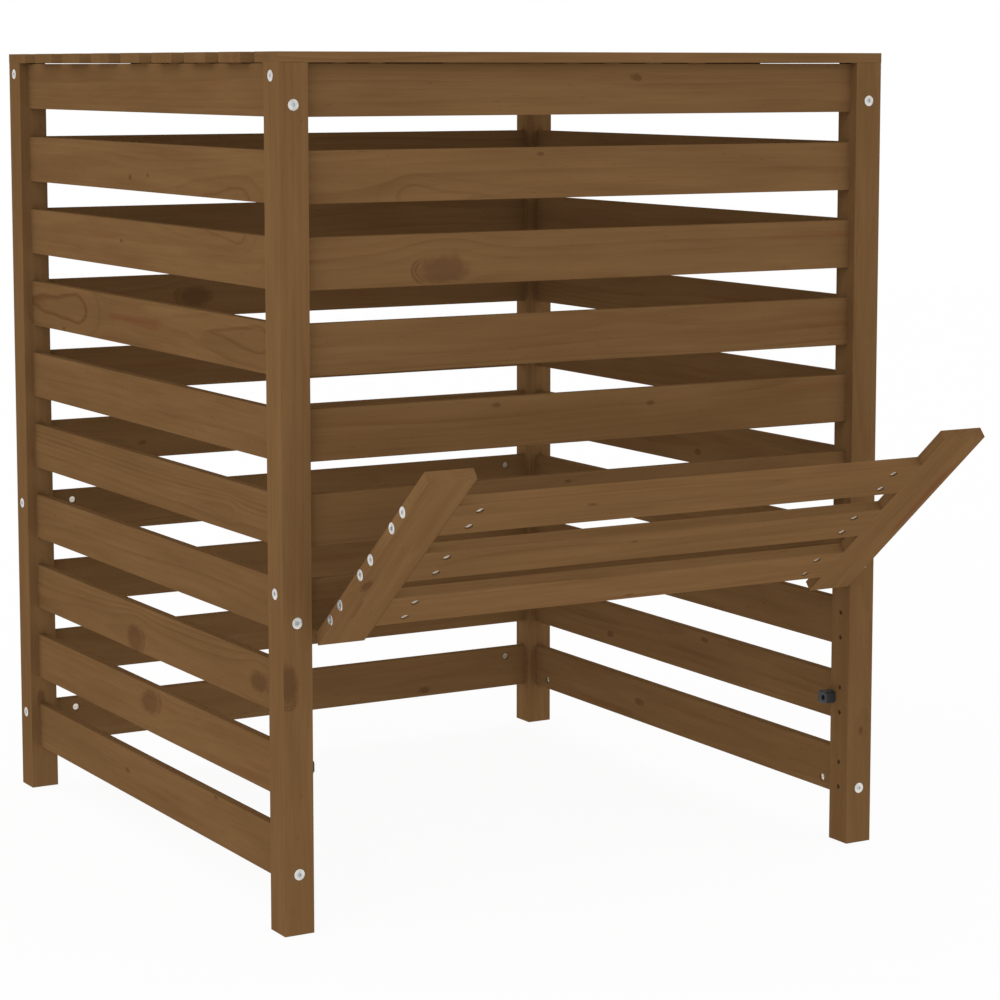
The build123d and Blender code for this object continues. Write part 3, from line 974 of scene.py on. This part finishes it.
def stop_screws():
    """Screw seats at the bottom of the stops' counterbores."""
    low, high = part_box("flap_stops")
    x = high.x - STOP_REACH + STOP_COUNTERBORE
    y = low.y + STOP_SCREW_SETBACK
    z = (low.z + high.z) / 2
    return [standing(Vector((side * x, y, z)), X_AXIS * -side, UP) for side in (-1, 1)]


hinge_screw = screw_template("hinge_screw", *HINGE_SCREW)
small_screw = screw_template("small_screw", *SMALL_SCREW)
batten_screw = screw_template("batten_screw", *BATTEN_SCREW)
stop_screw = screw_template("stop_screw", *STOP_SCREW)
wall_seats = leaf_screws("flap_hinge", FLAP_STILES, UP, -Y_AXIS, FLAP_LEAF_SPOTS)
stile_seats = leaf_screws("flap_hinge", FLAP_STILES, FLAP_DOWN, -FLAP_INNER, FLAP_LEAF_SPOTS)
post_seats = leaf_screws("lid_hinge", BACK_POSTS, -UP, Y_AXIS, POST_LEAF_SPOTS)
lid_seats = leaf_screws("lid_hinge", BACK_POSTS, UP, Y_AXIS, LID_LEAF_SPOTS)
copies("flap_hinge_wall_screws", small_screw, wall_seats, [zinc], "bin")
copies("flap_hinge_stile_screws", small_screw, stile_seats, [zinc], "flap")
copies("lid_hinge_post_screws", hinge_screw, post_seats, [zinc], "bin")
copies("lid_hinge_lid_screws", small_screw, lid_seats, [zinc], "lid")
copies("batten_screws", batten_screw, batten_screws(), [zinc], "lid")
# The stop screws sit at the bottom of counterbores and take the darker zinc as painted shade
copies("stop_screws", stop_screw, stop_screws(), [recess_shade_zinc], "bin")


# Studio: a pale floor, even light from all round and a soft key from the left

# Floor: its glow is the share of its light that comes from within, where it is seen and where it is cast
FLOOR_SIZE = 14.0
FLOOR_DROP = 0.0004
FLOOR_COLOUR = (0.95, 0.95, 0.95, 1)
FLOOR_GLOW_SEEN = 0.94
FLOOR_GLOW_CAST = 0.85

# Sky and key light
WHITE = (1, 1, 1, 1)
SKY_LIGHT = 0.93
KEY_POWER = 28.0
KEY_SIZE = 2.6
KEY_PLACE = Vector((-3.4, -2.2, 2.4))
AIM = Vector((0, 0, 0.5))


def by_sight(tree, cast, seen):
    """One value for light that falls on the object, another where a camera, mirror or glass ray looks."""
    rays = tree.nodes.new("ShaderNodeLightPath").outputs
    sight = rays["Is Camera Ray"]
    for kind in ("Is Glossy Ray", "Is Transmission Ray"):
        either = tree.nodes.new("ShaderNodeMath")
        either.operation = "MAXIMUM"
        tree.links.new(sight, either.inputs[0])
        tree.links.new(rays[kind], either.inputs[1])
        sight = either.outputs[0]
    choice = tree.nodes.new("ShaderNodeMapRange")
    choice.inputs["To Min"].default_value = cast
    choice.inputs["To Max"].default_value = seen
    tree.links.new(sight, choice.inputs["Value"])
    return choice.outputs[0]


def make_sky():
    """White where it is seen, and a plain even light where it falls on the object."""
    world = bpy.data.worlds.new("studio")
    world.use_nodes = True
    tree = world.node_tree
    background = tree.nodes["Background"]
    background.inputs["Color"].default_value = WHITE
    tree.links.new(by_sight(tree, SKY_LIGHT, 1.0), background.inputs["Strength"])
    bpy.context.scene.world = world


def floor_material():
    """Pale and softly lit from within, so that the floor reads white and keeps a faint shadow."""
    material = bpy.data.materials.new("floor")
    material.use_nodes = True
    tree = material.node_tree
    tree.nodes.remove(tree.nodes["Principled BSDF"])
    diffuse = tree.nodes.new("ShaderNodeBsdfDiffuse")
    diffuse.inputs["Color"].default_value = FLOOR_COLOUR
    glow = tree.nodes.new("ShaderNodeEmission")
    glow.inputs["Strength"].default_value = 1.0
    mix = tree.nodes.new("ShaderNodeMixShader")
    tree.links.new(by_sight(tree, FLOOR_GLOW_CAST, FLOOR_GLOW_SEEN), mix.inputs[0])
    tree.links.new(diffuse.outputs[0], mix.inputs[1])
    tree.links.new(glow.outputs[0], mix.inputs[2])
    tree.links.new(mix.outputs[0], tree.nodes["Material Output"].inputs["Surface"])
    return material


def make_floor():
    """Square floor just under the feet."""
    sheet = bmesh.new()
    bmesh.ops.create_grid(sheet, x_segments=1, y_segments=1, size=FLOOR_SIZE / 2)
    data = bpy.data.meshes.new("floor")
    sheet.to_mesh(data)
    sheet.free()
    data.materials.append(floor_material())
    floor = linked("floor", data)
    floor.location.z = -FLOOR_DROP


def make_key_light():
    """Large soft lamp to the left of the camera."""
    lamp = bpy.data.lights.new("key", "AREA")
    lamp.shape = "DISK"
    lamp.size = KEY_SIZE
    lamp.energy = KEY_POWER
    key = linked("key", lamp)
    key.location = KEY_PLACE
    key.rotation_euler = (AIM - KEY_PLACE).to_track_quat("-Z", "Y").to_euler()


# Camera, fitted to the photograph: focal length in pixels of its 1000-pixel frame
FRAME_PIXELS = 1000
FOCAL_PIXELS = 2878.3
SENSOR_MM = 36.0
CAMERA_PLACE = (-1.7900, -3.27105, 0.9772)
CAMERA_YAW = math.radians(30.118)
CAMERA_TILT = math.radians(6.587)
CAMERA_SHIFT = -0.1


def make_camera():
    """Camera at the photograph's eye point, turned to the right and tilted a little down."""
    lens = bpy.data.cameras.new("camera")
    lens.sensor_width = SENSOR_MM
    lens.lens = SENSOR_MM * FOCAL_PIXELS / FRAME_PIXELS
    lens.shift_y = CAMERA_SHIFT
    camera = linked("camera", lens)
    camera.location = CAMERA_PLACE
    camera.rotation_euler = (math.pi / 2 - CAMERA_TILT, 0, -CAMERA_YAW)
    bpy.context.scene.camera = camera


make_sky()
make_floor()
make_key_light()
make_camera()
bpy.context.scene.view_settings.view_transform = "Standard"
